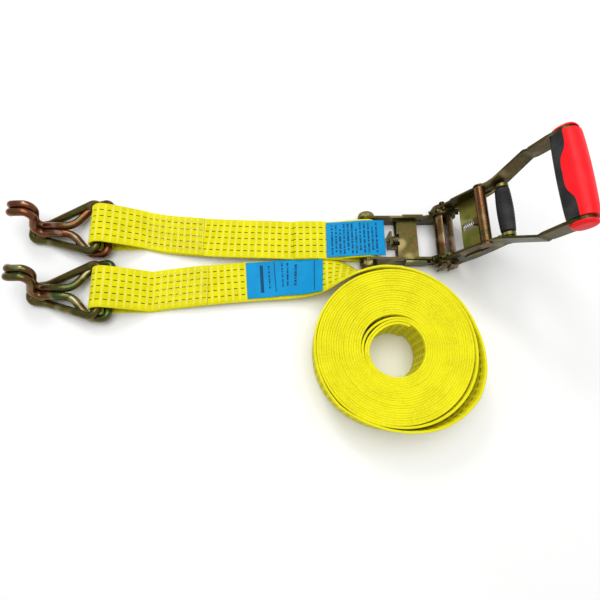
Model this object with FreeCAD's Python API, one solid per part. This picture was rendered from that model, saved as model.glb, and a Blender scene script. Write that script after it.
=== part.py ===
import FreeCAD, Part
import math
import os

# Ratchet tie down for 50 mm webbing: a ratchet with a fixed strap and hook on
# its anchor bolt, and a separate long strap with its own hook, wound into a
# flat coil.  Millimetres, +Z up.  The set lies on the plane z = 0.
# X runs from the hooks (-X) to the handle (+X), Y across the webbing.

V = FreeCAD.Vector
os.makedirs("parts", exist_ok=True)

# ---------------------------------------------------------------- placement
CENTRE_X, CENTRE_Y = -31.221, 132.822     # middle of the laid-out set
SPX, SPY, SPZ = 186.0, 219.6, 19.8      # spindle axis (runs along Y)
THETA = 59.0                            # handle angle above +X as laid down

# ---------------------------------------------------------------- ratchet
BOLT_X, BOLT_Z = -93.0, -9.2   # anchor bolt axis from the spindle axis
IN_Y = 25.8             # half of the inner width of the frame
PLATE = 2.8             # plate thickness
PAWL_Z = -8.15          # middle of the lock pawl: level with a tooth gap
HUB_R = 15.4            # frame outline round the spindle
WHEEL_Y0, WHEEL_Y1 = 28.8, 31.5
WHEEL_TIP, WHEEL_ROOT, TEETH = 19.5, 15.7, 12
BAR_R, SLOT = 11.5, 5.0 # spindle: two half-round bars either side of a slot
BAR_TURN = 9.0          # spindle angle as laid down
BAR_LEN = 39.6          # half length of the bars
HP_Y0, HP_Y1 = 31.8, 34.4
ROD_R, ROD_E = 61.0, 9.8
ROD_D = 12.0
FB_R, FB_E = 80.0, -2.0 # finger bar
FB_D = 8.0
GRIP_R, GRIP_E = 154.5, 4.5
GRIP_HALF = 44.4        # half length between the handle arms
ARM_Y0, ARM_Y1 = 44.6, 48.2
TUBE_D = 12.0

# ---------------------------------------------------------------- webbing
WEB_W, WEB_T = 50.0, 2.6
EYE_IN = 12.6
PZ = EYE_IN + WEB_T + 0.2               # height of the hook eyes
P1 = (-230.5, 237.0)
EYE1_YAW, HOOK1_YAW = 0.5, 2.0
P2 = (-221.0, 156.6)
EYE2_YAW, HOOK2_YAW = 0.5, 1.5
WIRE = 9.4                              # hook rods
COIL_X, COIL_Y = 108.5, 79.0
# outer and inner outline of the coil: radius by angle in degrees
COIL_OUT = [(-165, 88.4), (-150, 88.6), (-135, 88.6), (-121, 86.5), (-107, 86.0), (-93, 87.6), (-79, 90.5),
            (-64, 95.0), (-48, 98.6), (-32, 101.6), (-17, 100.0), (-2, 96.6), (13, 93.2), (27, 92.2), (41, 91.8),
            (56, 91.6), (70, 91.4), (85, 91.0), (100, 90.4), (116, 90.0), (133, 89.8), (150, 89.6), (166, 89.2), (180, 88.6)]
COIL_HOLE_R = 29.0


# ================================================================ helpers
def lerp(a, b, t):
    return a + (b - a) * t


def prism_y(pts, y0, y1):
    """Polygon given in X, Z, run from y0 to y1."""
    p = [V(x, y0, z) for x, z in pts]
    return Part.Face(Part.makePolygon(p + [p[0]])).extrude(V(0, y1 - y0, 0))


def cyl_y(r, y0, y1, x=0.0, z=0.0):
    return Part.makeCylinder(r, y1 - y0, V(x, y0, z), V(0, 1, 0))


def box(x0, x1, y0, y1, z0, z1):
    return Part.makeBox(x1 - x0, y1 - y0, z1 - z0, V(x0, y0, z0))


def mirror_y(s):
    return s.mirror(V(0, 0, 0), V(0, 1, 0))


def rounded_path(points, radii):
    """Straight runs joined by tangent arcs."""
    edges = []
    cur = points[0]
    for i in range(1, len(points) - 1):
        p1 = points[i]
        a = points[i - 1] - p1
        b = points[i + 1] - p1
        a.normalize()
        b.normalize()
        ang = math.acos(max(-1, min(1, a.dot(b))))
        r = radii[i - 1]
        t = r / math.tan(ang / 2)
        s = p1 + a * t
        e = p1 + b * t
        bis = a + b
        bis.normalize()
        c = p1 + bis * (r / math.sin(ang / 2))
        m = c - bis * r
        if (s - cur).Length > 1e-4:
            edges.append(Part.LineSegment(cur, s).toShape())
        edges.append(Part.Arc(s, m, e).toShape())
        cur = e
    edges.append(Part.LineSegment(cur, points[-1]).toShape())
    return edges


def rod(points, radii, d):
    edges = rounded_path(points, radii)
    t = edges[0].tangentAt(edges[0].FirstParameter)
    prof = Part.Wire([Part.Circle(points[0], t, d / 2).toShape()])
    s = Part.Wire(edges).makePipeShell([prof], True, False)
    if not s.isValid() or s.Volume <= 0:
        s = Part.Wire(edges).makePipeShell([prof], True, True)
    length = sum(e.Length for e in edges)
    print("rod", round(length, 1), "volume ratio", round(s.Volume / (math.pi * d * d / 4 * length), 4), s.isValid())
    return s


def loft(sections):
    wires = [Part.makePolygon(list(s) + [s[0]]) for s in sections]
    return Part.makeLoft(wires, True, True)


def place(s, x, y, z, yaw=0.0):
    s = s.copy()
    s.rotate(V(0, 0, 0), V(0, 0, 1), yaw)
    s.translate(V(x, y, z))
    return s


def solid_of(s):
    if s.ShapeType != "Solid" and len(s.Solids) == 1:
        return s.Solids[0]
    return s


def half_bar(side, y0, y1, grow=0.0):
    """One half-round bar of the spindle, on side +1 or -1 of the slot."""
    c = cyl_y(BAR_R + grow, y0, y1)
    cut = box(-30, SLOT / 2 - grow, y0 - 1, y1 + 1, -30, 30) if side > 0 else box(-SLOT / 2 + grow, 30, y0 - 1, y1 + 1, -30, 30)
    b = c.cut(cut)
    b.rotate(V(0, 0, 0), V(0, 1, 0), -BAR_TURN)
    return b


nodes = {}


def ratchet(name, s):
    """Ratchet pieces are drawn round the spindle axis."""
    s = s.copy()
    s.translate(V(SPX, SPY, SPZ))
    nodes[name] = s


def in_handle(s):
    """Handle pieces are drawn along +X, with +Z towards the closing side."""
    s = s.copy()
    s.rotate(V(0, 0, 0), V(0, 1, 0), -THETA)
    return s


# ================================================================ frame
# A stamped channel: two side plates and the web between them.
Z0 = -SPZ                                # lower edges of the plates
outline = [(-88, Z0), (9.5, Z0), (13.6, -7.2)]
for a in range(-24, 158, 7):             # hub round the spindle
    outline.append((HUB_R * math.cos(math.radians(a)), HUB_R * math.sin(math.radians(a))))
outline += [(-18.5, 1.4), (-84, 1.4)]
for a in range(96, 236, 14):             # rounded end at the bolt
    outline.append((BOLT_X + 10.6 * math.cos(math.radians(a)), BOLT_Z + 10.6 * math.sin(math.radians(a))))
side = prism_y(outline, IN_Y, IN_Y + PLATE)
side = side.cut(cyl_y(BAR_R + 0.06, 20, 40))
side = side.cut(cyl_y(6.0, 20, 40, BOLT_X, BOLT_Z))
# window for the tabs of the lock pawl
side = side.cut(box(-61.0, -24.0, 20, 40, PAWL_Z - 1.8, PAWL_Z + 1.8))
web = box(-57, -30, -IN_Y - 0.5, IN_Y + 0.5, -18.4, -15.4)
web = web.cut(Part.makeCylinder(4.0, 10, V(-40, -15, -22), V(0, 0, 1)))
web = web.cut(Part.makeCylinder(4.0, 10, V(-40, 15, -22), V(0, 0, 1)))
tongue = box(-67, -56, -8.5, 8.5, -18.4, -15.4)
lug = box(-67, -64, -8.5, 8.5, -18.4, -0.5)
lug = lug.cut(box(-70, -60, -2.9, 2.9, PAWL_Z - 1.8, PAWL_Z + 1.8))
frame = side.fuse([mirror_y(side), web, tongue, lug])
frame = frame.removeSplitter()
ratchet("frame_channel", solid_of(frame))

# anchor bolt with hexagon head and nut, and the sleeve that the strap turns on
def hexagon(af, y0, y1):
    r = af / math.sqrt(3)
    return prism_y([(BOLT_X + r * math.cos(math.radians(60 * k + 12)), BOLT_Z + r * math.sin(math.radians(60 * k + 12))) for k in range(6)], y0, y1)


def bcyl(r, y0, y1):
    return cyl_y(r, y0, y1, BOLT_X, BOLT_Z)


head = hexagon(18.0, -36.0, -29.2)
head = head.common(Part.makeCone(8.6, 12.4, 7.0, V(BOLT_X, -36.2, BOLT_Z), V(0, 1, 0)))
bolt = head.fuse([bcyl(6.0, -29.3, 37.4)]).removeSplitter()
ratchet("anchor_bolt", solid_of(bolt))
nut = hexagon(18.0, 29.2, 35.6).cut(bcyl(6.0, 20, 50))
nut = nut.common(Part.makeCone(12.4, 8.8, 6.8, V(BOLT_X, 29.0, BOLT_Z), V(0, 1, 0)))
ratchet("anchor_nut", solid_of(nut))
washers = [bcyl(10.4, 28.6, 29.2).cut(bcyl(6.0, 20, 50))]
washers.append(mirror_y(washers[0]))
ratchet("anchor_washers", Part.makeCompound(washers))
ratchet("anchor_sleeve", bcyl(7.4, -25.6, 25.6).cut(bcyl(6.0, -30, 30)))

# ================================================================ lock pawl
# a plate across the frame; its ends pass through the side plates and carry
# wings whose tips drop into the teeth of both wheels
pawl_pts = [(-56, -25.2), (-51.0, -25.2), (-49.0, -31.5), (-14.75, -31.5), (-14.75, -29.0), (-26.5, -29.0), (-26.5, -25.2), (-31, -25.2),
            (-31, 25.2), (-26.5, 25.2), (-26.5, 29.0), (-14.75, 29.0), (-14.75, 31.5), (-49.0, 31.5), (-51.0, 25.2), (-56, 25.2),
            (-56, 7.5), (-53.5, 7.5), (-53.5, 2.3), (-70.5, 2.3), (-70.5, -2.3), (-53.5, -2.3), (-53.5, -7.5), (-56, -7.5)]
p = [V(x, y, PAWL_Z - 1.5) for x, y in pawl_pts]
lock = Part.Face(Part.makePolygon(p + [p[0]])).extrude(V(0, 0, 3.0))
wing = prism_y([(-49.0, PAWL_Z - 8.0), (-22.5, PAWL_Z - 8.0), (-20.6, PAWL_Z - 1.6), (-20.6, PAWL_Z + 1.6), (-24.0, PAWL_Z + 7.0), (-49.0, PAWL_Z + 7.0)], 29.0, 31.5)
lock = lock.fuse([wing, mirror_y(wing)]).removeSplitter()
ratchet("lock_pawl", solid_of(lock))


def coil_spring(mean_r, wire, length, turns):
    """Compression spring along +Z from z = 0."""
    pitch = (length - 2 * wire) / turns
    h = Part.makeHelix(pitch, length - 2 * wire, mean_r)
    h.translate(V(0, 0, wire))
    prof = Part.Wire([Part.Circle(V(mean_r, 0, wire), V(0, 1, 0), wire / 2).toShape()])
    return solid_of(Part.Wire(h.Edges).makePipeShell([prof], True, True))


sp = coil_spring(3.9, 1.1, 9.4, 3)
sp.rotate(V(0, 0, 0), V(0, 1, 0), 90)      # along +X
sp.translate(V(-63.2, 0, PAWL_Z))
ratchet("lock_pawl_spring", sp)

# ================================================================ spindle
for nm, sgn in (("spindle_bar_left", -1), ("spindle_bar_right", 1)):
    b = half_bar(sgn, -BAR_LEN, BAR_LEN)
    for yy in (-39.1, 39.1):
        ca, sa = math.cos(math.radians(BAR_TURN)), math.sin(math.radians(BAR_TURN))
        # hole for the split pin, square to the slot's faces
        b = b.cut(Part.makeCylinder(1.2, 40, V(-20 * sa + sgn * 6.2 * ca, yy, -20 * ca - sgn * 0 + sgn * 6.2 * sa), V(sa * 1.0, 0, ca)))
    ratchet(nm, solid_of(b))

wheel_pts = []
pitch = 360.0 / TEETH
for k in range(TEETH):
    g = k * pitch
    for da, rr in ((-9.2, WHEEL_ROOT), (-4.5, WHEEL_ROOT - 0.25), (0, WHEEL_ROOT - 0.3), (4.5, WHEEL_ROOT - 0.25), (9.2, WHEEL_ROOT),
                   (8.9, WHEEL_TIP - 0.5), (9.9, WHEEL_TIP), (13.2, WHEEL_TIP), (14.6, WHEEL_TIP - 0.6)):
        a = math.radians(g + da)
        wheel_pts.append((rr * math.cos(a), rr * math.sin(a)))
bars_cut = half_bar(-1, 20, 50).fuse(half_bar(1, 20, 50))
wheel = prism_y(wheel_pts, WHEEL_Y0, WHEEL_Y1).cut(bars_cut)
ratchet("ratchet_wheel_far", solid_of(wheel))
ratchet("ratchet_wheel_near", solid_of(mirror_y(wheel)))
w = cyl_y(14.0, HP_Y1 + 0.1, HP_Y1 + 1.5).cut(bars_cut)
ratchet("spindle_washers", Part.makeCompound([w, mirror_y(w)]))
pins = []
for sgn in (-1, 1):
    for yy in (-39.1, 39.1):
        ca, sa = math.cos(math.radians(BAR_TURN)), math.sin(math.radians(BAR_TURN))
        bx, bz = sgn * 6.2 * ca, sgn * 6.2 * sa
        d = V(sa, 0, ca)
        base = V(bx, yy, bz)
        shank = Part.makeCylinder(1.2, 25.0, base - d * 12.6, d)
        eye = Part.makeTorus(2.3, 1.0, base + d * 14.4, V(0, 1, 0))
        pins.append(solid_of(shank.fuse([eye]).removeSplitter()))
ratchet("split_pins", Part.makeCompound(pins))

# ================================================================ handle
def arm_section(r, y, e0, e1):
    return [V(r, y, e0), V(r, y + PLATE, e0), V(r, y + PLATE, e1), V(r, y, e1)]


hub = []
for a in range(74, 292, 12):
    hub.append((14.9 * math.cos(math.radians(a)), 14.9 * math.sin(math.radians(a))))
hub_pts = hub + [(14, -15.0), (30, -15.6), (52, -13.8), (74, -10.2), (74, 12.8), (52, 15.2), (27, 16.6), (24.5, 14.8)]
plate = prism_y(hub_pts, HP_Y0, HP_Y1)
arms = loft([arm_section(73, HP_Y0, -10.4, 12.9), arm_section(79, HP_Y0 + 0.9, -9.6, 12.6), arm_section(116, 45.8, -7.4, 12.2), arm_section(121, ARM_Y0, -7.0, 12.0)])
tip = []
for a in range(-75, 76, 15):
    tip.append((GRIP_R + 0.0 + 10.8 * math.cos(math.radians(a)), GRIP_E + 10.8 * math.sin(math.radians(a))))
end = prism_y([(121, -7.0), (141, -6.6)] + tip + [(141, 14.6), (121, 12.0)], ARM_Y0, ARM_Y1)
plate = plate.fuse([arms, end]).removeSplitter()
plate = plate.cut(cyl_y(BAR_R + 0.06, 20, 50))
plate = plate.cut(box(25.5, 57.0, 20, 50, -1.9, 1.9))
plate = plate.cut(cyl_y(5.0, 20, 50, ROD_R, ROD_E))
plate = plate.cut(cyl_y(TUBE_D / 2, 40, 60, GRIP_R, GRIP_E))
ratchet("handle_plate_far", in_handle(solid_of(plate)))
ratchet("handle_plate_near", in_handle(solid_of(mirror_y(plate))))

spacer = cyl_y(ROD_D / 2, -HP_Y0, HP_Y0, ROD_R, ROD_E).fuse([cyl_y(5.0, -HP_Y1 - 0.1, HP_Y1 + 0.1, ROD_R, ROD_E),
         cyl_y(6.4, HP_Y1, HP_Y1 + 1.2, ROD_R, ROD_E), cyl_y(6.4, -HP_Y1 - 1.2, -HP_Y1, ROD_R, ROD_E)]).removeSplitter()
seat_arm = box(45.5, 60.0, -4.0, 4.0, 3.0, 5.5).fuse([box(45.5, 48.0, -4.0, 4.0, -4.6, 5.5), box(54.5, 60.0, -4.0, 4.0, 3.0, 9.0)]).removeSplitter()
seat_arm = seat_arm.cut(cyl_y(ROD_D / 2, -40, 40, ROD_R, ROD_E))
ratchet("handle_spacer_rod", in_handle(solid_of(spacer)))
ratchet("drive_spring_seat", in_handle(solid_of(seat_arm)))

tube = cyl_y(TUBE_D / 2, -ARM_Y1 - 0.4, ARM_Y1 + 0.4, GRIP_R, GRIP_E).cut(cyl_y(TUBE_D / 2 - 1.8, -70, 70, GRIP_R, GRIP_E))
ratchet("grip_tube", in_handle(tube))


def oval(y, a, b, cx=GRIP_R, ce=GRIP_E):
    """Closed oval in X, Z at height y: half sizes a along X and b along Z."""
    n = 28
    pts = []
    for k in range(n):
        t = 2 * math.pi * k / n
        c, s = math.cos(t), math.sin(t)
        e = 2.0 / 2.5
        pts.append(V(cx + a * math.copysign(abs(c) ** e, c), y, ce + b * math.copysign(abs(s) ** e, s)))
    bs = Part.BSplineCurve()
    bs.interpolate(pts, PeriodicFlag=True)
    return Part.Wire([bs.toShape()])


secs = [(-GRIP_HALF, 13.0, 11.8), (-34, 13.7, 12.3), (-17, 14.2, 12.7), (0, 14.4, 12.8), (17, 14.2, 12.7), (34, 13.7, 12.3), (GRIP_HALF, 13.0, 11.8)]
grip = Part.makeLoft([oval(y, a, b) for y, a, b in secs], True, False)
grip = grip.cut(cyl_y(TUBE_D / 2, -70, 70, GRIP_R, GRIP_E))
# the red cover takes the outer side, with a wavy parting line on each flank
wave = []
for y, dx in ((-60, 2.4), (-47, 2.4), (-33, 2.6), (-25, 1.4), (-18, -2.4), (0, -4.2), (18, -2.4), (25, 1.4), (33, 2.6), (47, 2.4), (60, 2.4)):
    wave.append(V(GRIP_R + dx, y, 0))
wbs = Part.BSplineCurve()
wbs.interpolate(wave)
outer_cut = Part.Face(Part.Wire([wbs.toShape(), Part.makeLine(wave[-1], V(GRIP_R + 40, 60, 0)), Part.makeLine(V(GRIP_R + 40, 60, 0), V(GRIP_R + 40, -60, 0)),
                                 Part.makeLine(V(GRIP_R + 40, -60, 0), wave[0])]))
outer_cut.translate(V(0, 0, -40))
outer_cut = outer_cut.extrude(V(0, 0, 80))
ratchet("grip_body", in_handle(solid_of(grip.cut(outer_cut))))
ratchet("grip_cover", in_handle(solid_of(grip.common(outer_cut))))
cap = Part.makeLoft([oval(ARM_Y1 + 0.02, 11.6, 10.6), oval(ARM_Y1 + 1.4, 11.3, 10.3), oval(ARM_Y1 + 2.8, 10.0, 9.0), oval(ARM_Y1 + 3.6, 7.6, 6.8)], True, False)
cap = cap.cut(cyl_y(TUBE_D / 2 + 0.05, 40, ARM_Y1 + 1.0, GRIP_R, GRIP_E))
ratchet("grip_cap_far", in_handle(solid_of(cap)))
ratchet("grip_cap_near", in_handle(solid_of(mirror_y(cap))))

# ================================================================ drive pawl
dp = [(19.8, 29.1), (19.8, 31.3), (25.5, 31.5), (29, 31.5), (29, 36.0), (47, 36.0), (47, 31.5), (51, 31.5), (51, 30.2), (86, 30.2), (86, 26.8), (57.5, 26.8), (54.5, 22.0), (54.5, 0)]
dp_in = [(26.0, 0), (26.0, 28.0)]
half = dp_in[::1] + dp
p = [V(x, y, -1.5) for x, y in half] 
hp = Part.Face(Part.makePolygon(p + [p[0]])).extrude(V(0, 0, 3.0))
dplate = hp.fuse([mirror_y(hp)]).removeSplitter()
# window for the spring
win = box(31.6, 52.0, -4.6, 4.6, -5, 5).fuse([Part.makeCylinder(4.6, 10, V(31.6, 0, -5), V(0, 0, 1))])
dplate = dplate.cut(win)
lugs = []
for s_ in (-1, 1):
    y0, y1 = (26.8, 30.2) if s_ > 0 else (-30.2, -26.8)
    lug2 = cyl_y(7.0, y0, y1, FB_R, FB_E).fuse([box(70, FB_R, y0, y1, -4.5, 3.0)])
    lugs.append(lug2)
dplate = dplate.fuse(lugs)
dplate = dplate.cut(cyl_y(FB_D / 2, -50, 50, FB_R, FB_E))
# the legs end at the lugs
dplate = dplate.cut(box(FB_R + 7.0, 120, -60, 60, -10, 10)).removeSplitter()
ratchet("drive_pawl", in_handle(solid_of(dplate)))
ds = coil_spring(3.0, 1.1, 17.6, 6)
ds.rotate(V(0, 0, 0), V(0, 1, 0), 90)
ds.translate(V(27.4, 0, 0))
ratchet("drive_pawl_spring", in_handle(ds))
fb = cyl_y(FB_D / 2, -30.6, 30.6, FB_R, FB_E).fuse([cyl_y(5.4, 30.3, 31.4, FB_R, FB_E), cyl_y(5.4, -31.4, -30.3, FB_R, FB_E)]).removeSplitter()
ratchet("finger_bar", in_handle(solid_of(fb)))


def round_sec(y, r):
    return Part.Wire([Part.Circle(V(FB_R, y, FB_E), V(0, 1, 0), r).toShape()])


sleeve = Part.makeLoft([round_sec(y, r) for y, r in ((-25.4, 6.4), (-24.4, 7.3), (-12, 8.2), (0, 8.6), (12, 8.2), (24.4, 7.3), (25.4, 6.4))], True, False)
sleeve = sleeve.cut(cyl_y(FB_D / 2, -40, 40, FB_R, FB_E))
ratchet("finger_sleeve", in_handle(solid_of(sleeve)))

# ================================================================ hooks
def hook_pieces():
    """Drawn round the middle of the crossbars, the J pointing to -X."""
    halves = []
    for k in (1, -1):
        q = [V(5.4, 0, -2.2), V(5.4, k * 34.6, -3.2), V(-17.0, k * 32.4, -6.8), V(-38.0, k * 5.0 - 1.6, -1.8), V(-50.0, k * 4.85 - 1.6, 0.0),
             V(-84.5, k * 4.85, -0.1), V(-68.0, k * 4.85 + 12.0, 31.2), V(-95.0, k * 4.85 + 12.5, 31.2), V(-103.0, k * 4.85 + 18.5, 19.0)]
        halves.append(rod(q, [7.0, 11, 20, 40, 9.0, 9.0, 9.0], WIRE))
    wire = halves[0].fuse([halves[1]]).removeSplitter()
    r = [V(-5.4, 0, 2.6), V(-5.4, 35.4, 2.6), V(-72.0, 11.2, -10.3), V(-91.0, 9.0, -10.3), V(-91.0, 0, -10.3)]
    ring = rod(r, [9.5, 30, 8.7], WIRE)
    ring = ring.fuse([mirror_y(ring)]).removeSplitter()
    beads = []
    for s_ in (-1, 1):
        b = Part.makeCylinder(2.7, 9.0, V(-81.0, s_ * 7.6, -5.0), V(1, 0, 0))
        b = b.fuse([Part.makeSphere(2.7, V(-81.0, s_ * 7.6, -5.0)), Part.makeSphere(2.7, V(-72.0, s_ * 7.6, -5.0))]).removeSplitter()
        beads.append(solid_of(b))
    return solid_of(wire), solid_of(ring), Part.makeCompound(beads)


hw, hr, hb = hook_pieces()
for tag, (px, py), yaw in (("fixed", P1, HOOK1_YAW), ("long", P2, HOOK2_YAW)):
    nodes[tag + "_hook_wire"] = place(hw, px, py, PZ, yaw)
    nodes[tag + "_hook_ring"] = place(hr, px, py, PZ, yaw)
    nodes[tag + "_hook_welds"] = place(hb, px, py, PZ, yaw)

# ================================================================ webbing
def teardrop(r, apex_x, z_low, z_high):
    """Round eye of radius r about the origin that closes towards +X; the
    lower side is level, the upper side slopes to z_high at apex_x."""
    # tangent from (apex_x, z_high) to the circle, upper side
    d = math.hypot(apex_x, z_high)
    base = math.atan2(z_high, apex_x)
    ta = base + math.acos(r / d)
    t = V(r * math.cos(ta), 0, r * math.sin(ta))
    low = V(0, 0, -r)
    mid_a = (ta + math.radians(270)) / 2
    mid = V(r * math.cos(mid_a), 0, r * math.sin(mid_a))
    a0 = V(apex_x, 0, z_high)
    edges = [Part.Arc(low, mid, t).toShape(), Part.makeLine(t, a0)]
    if z_high - z_low > 0.01:
        edges += [Part.makeLine(a0, V(apex_x, 0, z_low)), Part.makeLine(V(apex_x, 0, z_low), low)]
    else:
        edges += [Part.makeLine(a0, low)]
    return Part.Face(Part.Wire(edges))


R_OUT = EYE_IN + WEB_T
EYE_END = 50.0
eye = teardrop(R_OUT, EYE_END, -R_OUT, -R_OUT + 2 * WEB_T).extrude(V(0, WEB_W, 0))
hole = teardrop(EYE_IN, EYE_END - 13.0, -EYE_IN, -EYE_IN).extrude(V(0, WEB_W + 20, 0))
hole.translate(V(0, -10, 0))
eye = eye.cut(hole)
eye.translate(V(0, -WEB_W / 2, 0))
eye = solid_of(eye)


def run(stations):
    """Webbing along stations (x, y, z of the middle, turn about the run, thickness)."""
    secs = []
    n = len(stations)
    for i, (x, y, z, phi, t) in enumerate(stations):
        a = stations[max(0, i - 1)]
        b = stations[min(n - 1, i + 1)]
        tx, ty = b[0] - a[0], b[1] - a[1]
        h = math.hypot(tx, ty)
        nx, ny = -ty / h, tx / h
        c, s = math.cos(math.radians(phi)), math.sin(math.radians(phi))
        w = V(nx * c, ny * c, -s)                # across the webbing
        u = V(nx * s, ny * s, c)                 # its upper normal
        m = V(x, y, z)
        hw2, ht = WEB_W / 2, t / 2
        secs.append([m + w * hw2 + u * ht, m - w * hw2 + u * ht, m - w * hw2 - u * ht, m + w * hw2 - u * ht])
    s = loft(secs)
    print("run", s.isValid(), round(s.Volume, 1))
    return [s]


def eye_end(px, py, yaw, back=0.0):
    c, s = math.cos(math.radians(yaw)), math.sin(math.radians(yaw))
    return px + (EYE_END - back) * c, py + (EYE_END - back) * s


# fixed strap: hook eye, run, and loop round the anchor sleeve
ex, ey = eye_end(P1[0], P1[1], EYE1_YAW)
zl = PZ - R_OUT + WEB_T
LOOP_X = SPX + BOLT_X
loop_end = LOOP_X - 40.0
BZ = SPZ + BOLT_Z
st1 = [(ex - 0.3, ey + 0.01, zl, 0, 5.2), (-158, 232.6, zl + 1.4, 0, 5.2), (-135, 229.0, zl + 3.8, 0, 5.2), (-112, 226.0, zl + 6.6, 0, 5.2), (-108, 225.4, zl + 7.0, 0, 2.8),
       (-85, 223.0, zl + 9.4, 0, 2.8), (-55, 221.2, zl + 10.6, 0, 2.8), (-25, 220.4, zl + 10.2, 0, 2.8), (-2, SPY, zl + 9.4, 0, 2.8), (2, SPY, zl + 9.2, 0, 5.2),
       (30, SPY, BZ + 2.2, 0, 5.2), (loop_end + 0.3, SPY, BZ, 0, 5.2)]
r1 = 7.4 + 0.3


def both_teardrop(r, apex, half):
    d = math.hypot(apex, half)
    ta = math.atan2(half, -apex) - math.acos(r / d)
    tx_, tz_ = r * math.cos(ta), r * math.sin(ta)
    pts_t, pts_b = V(tx_, 0, tz_), V(tx_, 0, -tz_)
    half2 = half if half > 0.01 else 0.0
    e = [Part.Arc(pts_b, V(r, 0, 0), pts_t).toShape(), Part.makeLine(pts_t, V(-apex, 0, half2))]
    if half2 > 0:
        e.append(Part.makeLine(V(-apex, 0, half2), V(-apex, 0, -half2)))
    e.append(Part.makeLine(V(-apex, 0, -half2), pts_b))
    return Part.Face(Part.Wire(e))


bo = both_teardrop(r1 + WEB_T, 40.0, 2.6).extrude(V(0, WEB_W, 0))
bi = both_teardrop(r1, 30.0, 0.0).extrude(V(0, WEB_W + 20, 0))
bi.translate(V(0, -10, 0))
bo = bo.cut(bi)
bo.translate(V(0, -WEB_W / 2, 0))
bo = place(bo, LOOP_X, SPY, BZ)
print("loop", bo.isValid(), bo.Volume)
fixed = place(eye, P1[0], P1[1], PZ, EYE1_YAW).fuse(run(st1) + [bo])
nodes["fixed_webbing"] = solid_of(fixed)

# long strap: hook eye and the run that turns on edge into the coil
ex, ey = eye_end(P2[0], P2[1], EYE2_YAW)
st2 = [(ex - 0.3, ey, zl, 0, 5.2), (-150, 159.6, zl + 1.5, 0, 5.2), (-125, 161.8, zl + 3.6, 0, 5.2), (-104, 163.6, zl + 4.8, 0, 5.2), (-100, 164.0, zl + 5.0, 0, 2.8),
       (-75, 166.0, zl + 5.2, 0, 2.8), (-45, 168.4, zl + 4.8, 0, 2.8), (-20, 169.6, 7.8, 1, 2.8), (0, 170.6, 8.8, 4, 2.8), (18, 171.6, 11.0, 9, 2.8), (36, 173.4, 15.2, 19, 2.8),
       (50, 174.4, 19.2, 34, 2.8), (64, 174.4, 22.8, 52, 2.8), (76, 173.8, 25.0, 67, 2.8), (87, 172.8, 26.0, 79, 2.8), (97, 171.9, 26.2, 87, 2.8), (106, 171.2, 26.2, 90, 2.6)]
long_run = place(eye, P2[0], P2[1], PZ, EYE2_YAW).fuse(run(st2))
# coil: closed outline of the winding with its open middle
pts = [V(COIL_X + r * math.cos(math.radians(a)), COIL_Y + r * math.sin(math.radians(a)), 0.6) for a, r in COIL_OUT]
bs = Part.BSplineCurve()
bs.interpolate(pts, PeriodicFlag=True)
coil = Part.Face(Part.Wire([bs.toShape()])).extrude(V(0, 0, WEB_W + 0.8))
coil = coil.cut(Part.makeCylinder(COIL_HOLE_R, 80, V(COIL_X + 1.0, COIL_Y - 1.2, -10), V(0, 0, 1)))
long_run = solid_of(long_run)
cut = long_run.common(coil)
print("run in coil", cut.Volume)
coil = coil.cut(long_run)
nodes["long_webbing_run"] = long_run
nodes["long_webbing_coil"] = solid_of(coil)

# sewn-on labels: thin flaps on the upper side
def flap(stations, half, t=0.7):
    secs = []
    for x, y, z, phi in stations:
        c, s = math.cos(math.radians(phi)), math.sin(math.radians(phi))
        w, u = V(0, c, -s), V(0, s, c)
        m = V(x, y, z)
        secs.append([m + w * half + u * t, m - w * half + u * t, m - w * half, m + w * half])
    return loft(secs)


nodes["fixed_label"] = flap([(42, SPY - 0.8, BZ + 4.4, 0), (64, SPY - 0.8, BZ + 7.0, 0), (84, SPY - 0.8, BZ + 10.0, 0), (94, SPY - 0.8, BZ + 10.6, 0), (103.6, SPY - 0.8, BZ + 10.6, 0)], 23.0)
nodes["long_label"] = flap([(-55, 168.2, 9.8, 0), (-30, 170.0, 10.1, 1), (-8, 171.6, 11.3, 3), (10, 171.5, 13.4, 7), (36, 172.2, 19.6, 17)], 22.0)

# ================================================================ output
shift = V(-CENTRE_X, -CENTRE_Y, 0)
lo3, hi3 = [1e9] * 3, [-1e9] * 3
for name in nodes:
    s = nodes[name]
    s.translate(shift)
    for q in s.tessellate(0.02)[0]:
        for k in range(3):
            lo3[k] = min(lo3[k], q[k])
            hi3[k] = max(hi3[k], q[k])
for name, s in nodes.items():
    s.exportStep("parts/%s.step" % name)
    ok = s.isValid() and all(x.isValid() for x in s.Solids)
    b = s.BoundBox
    print("%-22s solids %d valid %s vol %9.1f  x %.1f..%.1f y %.1f..%.1f z %.2f..%.2f" % (name, len(s.Solids), ok, s.Volume, b.XMin, b.XMax, b.YMin, b.YMax, b.ZMin, b.ZMax))
print("nodes", len(nodes), "box", [round(v, 3) for v in lo3 + hi3], "centre", round((lo3[0] + hi3[0]) / 2, 3), round((lo3[1] + hi3[1]) / 2, 3))
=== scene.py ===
import bpy
import math
import random
from mathutils import Vector, Matrix, noise


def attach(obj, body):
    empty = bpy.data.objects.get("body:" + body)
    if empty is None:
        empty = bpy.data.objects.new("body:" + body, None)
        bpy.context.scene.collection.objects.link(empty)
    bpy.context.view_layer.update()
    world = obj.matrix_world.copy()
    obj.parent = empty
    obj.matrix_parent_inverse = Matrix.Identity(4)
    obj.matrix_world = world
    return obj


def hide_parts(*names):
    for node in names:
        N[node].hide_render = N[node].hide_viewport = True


# Looks of the ratchet tie down: yellow-zinc buckle and hooks, yellow 50 mm
# webbing wound into a coil, labels, grip and finger sleeve.

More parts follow.
